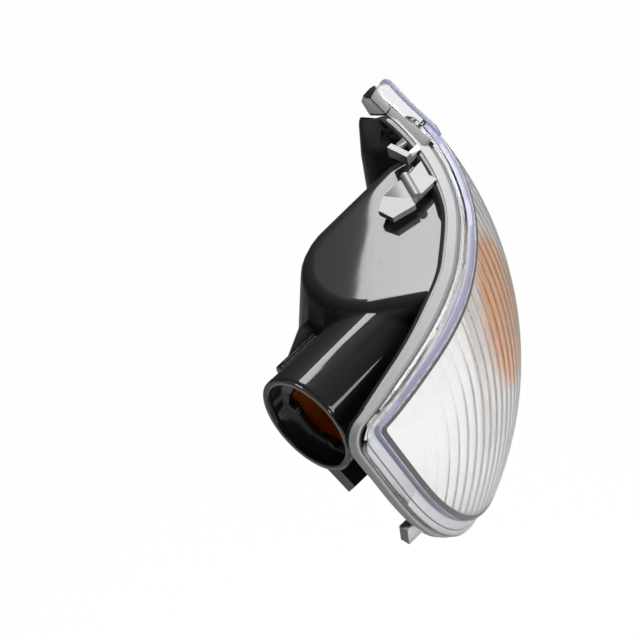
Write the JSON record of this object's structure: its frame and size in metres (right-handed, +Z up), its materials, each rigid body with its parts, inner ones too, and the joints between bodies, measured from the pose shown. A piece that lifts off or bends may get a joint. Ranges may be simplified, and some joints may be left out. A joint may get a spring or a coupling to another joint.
{
  "type": "vehicle side repeater lamp",
  "caption": "Corner-mounted side repeater lamp: clear fluted lens, metallised rim with snap clips, amber bulb cap and black housing with a round bulb socket.",
  "frame": {"origin": "centre of the bulb seat's outer face, on the axis of the bulb socket", "axes": "-Y out through the middle of the lens, +X along the lens towards its tall outer end, +Z up as the lamp is fitted"},
  "size_m": [0.1242, 0.0639, 0.1054],
  "materials": {
    "clear_lens": "clear moulded acrylic, polished outside and fluted inside",
    "sealant": "dark grey sealing bead",
    "metallised": "vacuum-metallised plastic, bright inside and satin on the rim",
    "amber": "translucent amber moulding",
    "black_moulding": "black moulded plastic, semi-gloss with fine scratches"
  },
  "bodies": {
    "root": {"lens_cover": "clear_lens", "seal_bead": "sealant", "reflector": "metallised", "amber_cap": "amber", "housing": "black_moulding"}
  },
  "joints": []
}
